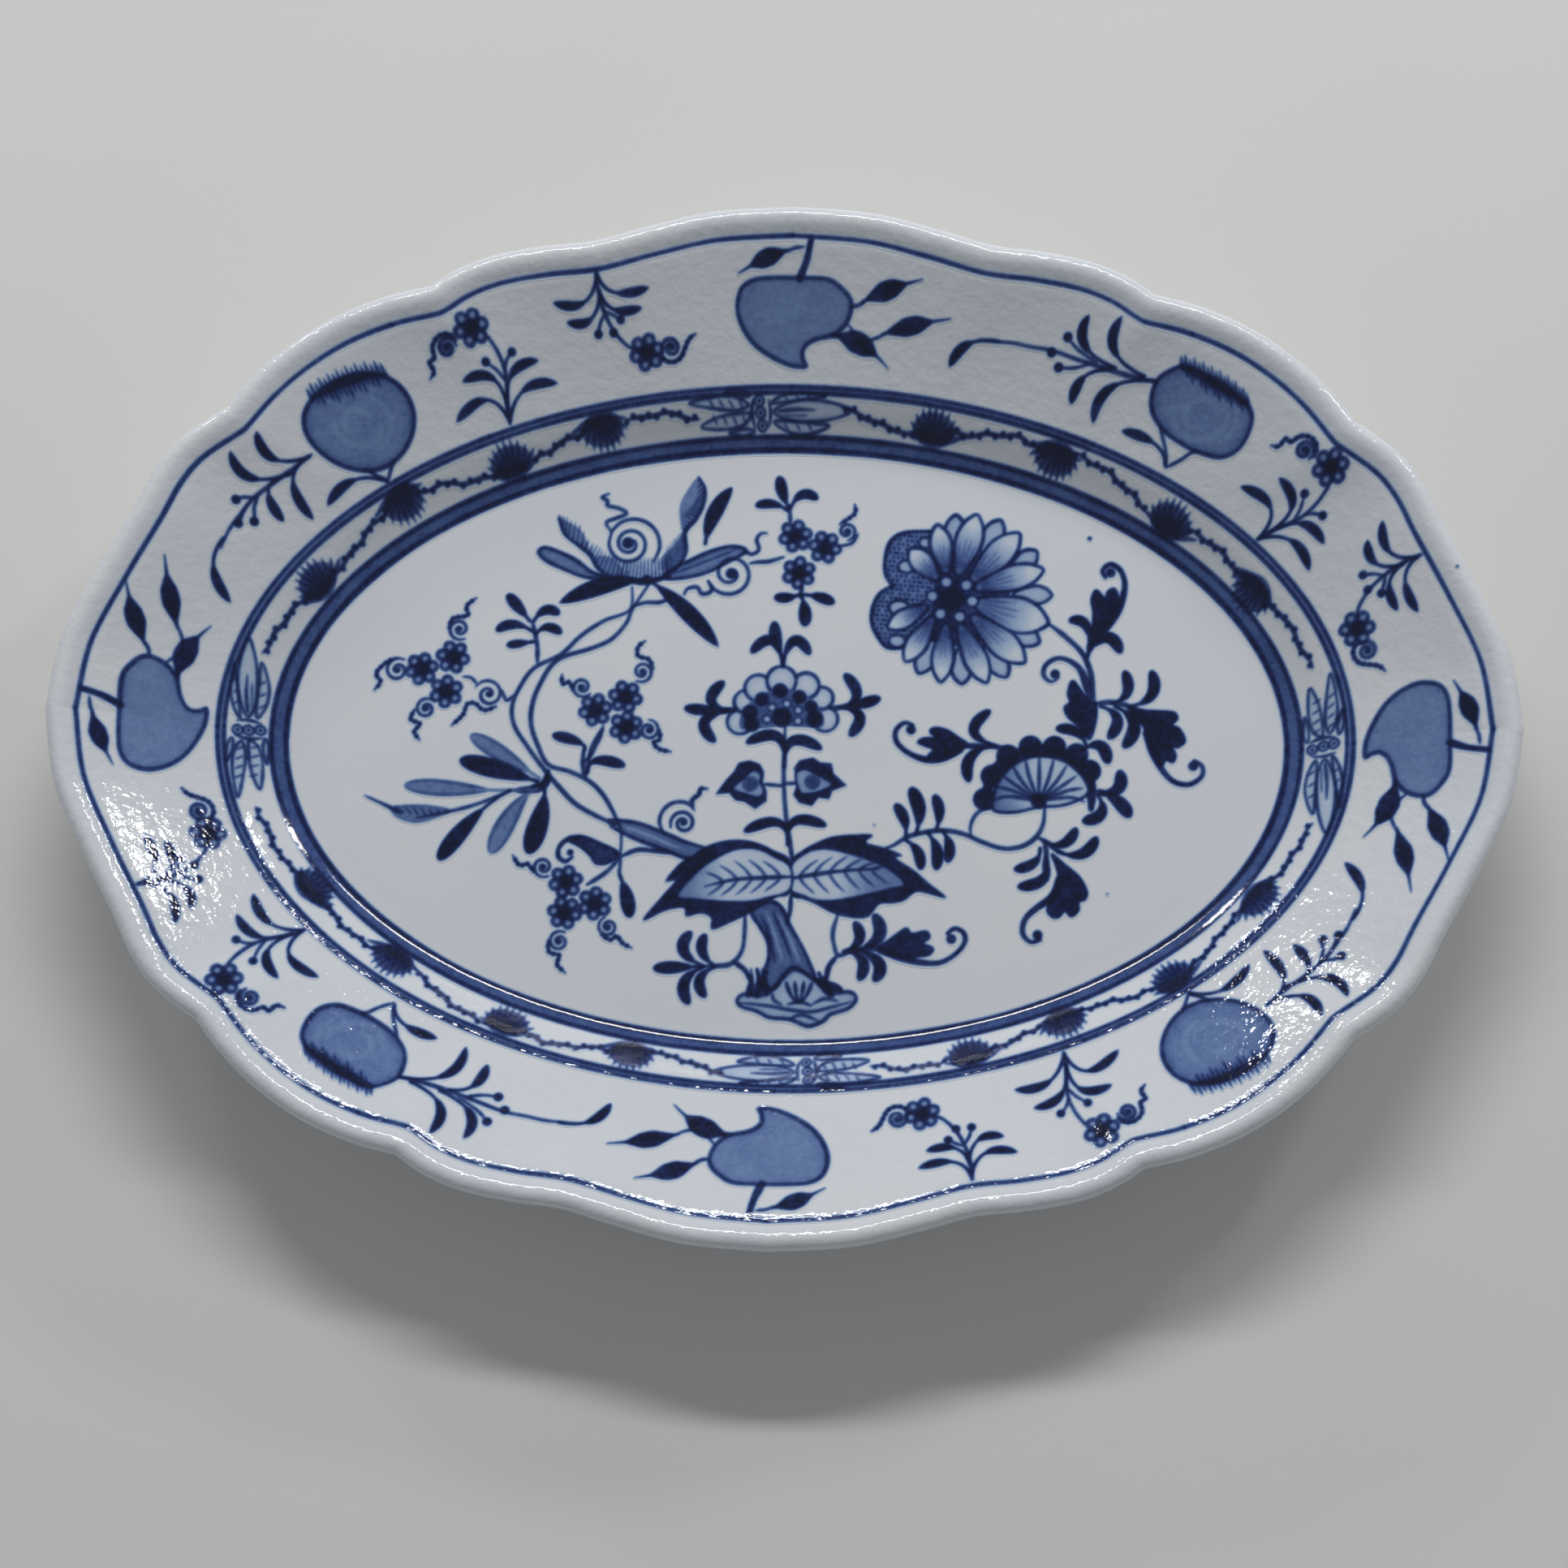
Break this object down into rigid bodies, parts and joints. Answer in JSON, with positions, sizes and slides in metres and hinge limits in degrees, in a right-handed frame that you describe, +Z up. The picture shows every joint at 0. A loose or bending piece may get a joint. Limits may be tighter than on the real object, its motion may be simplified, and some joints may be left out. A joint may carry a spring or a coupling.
{
  "type": "oval serving platter",
  "caption": "Oval china serving platter with a lobed, rolled rim, a foot ring and a blue fruit-and-flower pattern painted under the glaze.",
  "frame": {"origin": "centre of the foot ring's resting plane, under the middle of the well", "axes": "+X along the platter's length, +Y across it towards the top of the painted picture, +Z up out of the well"},
  "size_m": [0.365, 0.265, 0.0369],
  "materials": {
    "porcelain": "clear glossy glaze over cool white porcelain",
    "bare_foot": "unglazed, ground smooth",
    "cobalt_line": "dark cobalt brushwork under clear glossy glaze",
    "cobalt_wash": "mid-blue cobalt wash under clear glossy glaze"
  },
  "bodies": {
    "root": {"body": "porcelain", "foot_ring": "bare_foot", "rim_line": "cobalt_line", "border_outer_lines": "cobalt_line", "border_inner_lines": "cobalt_line", "border_shells": "cobalt_line", "border_rosettes": "cobalt_line", "border_garland": "cobalt_line", "rim_peaches": "cobalt_wash", "rim_peach_leaves": "cobalt_line", "rim_pomegranates": "cobalt_wash", "rim_pomegranate_sprigs": "cobalt_line", "rim_hanging_sprigs": "cobalt_line", "rim_rising_sprigs": "cobalt_line", "rock_and_trunk": "cobalt_wash", "great_leaves": "cobalt_wash", "centre_stem": "cobalt_line", "aster": "cobalt_wash", "left_branch": "cobalt_line", "leaf_fan": "cobalt_line", "lily": "cobalt_line", "plum_blossoms": "cobalt_line", "small_sprigs": "cobalt_line", "chrysanthemum": "cobalt_wash", "right_branch": "cobalt_line", "scroll_leaves": "cobalt_line", "peony": "cobalt_wash"}
  },
  "joints": []
}
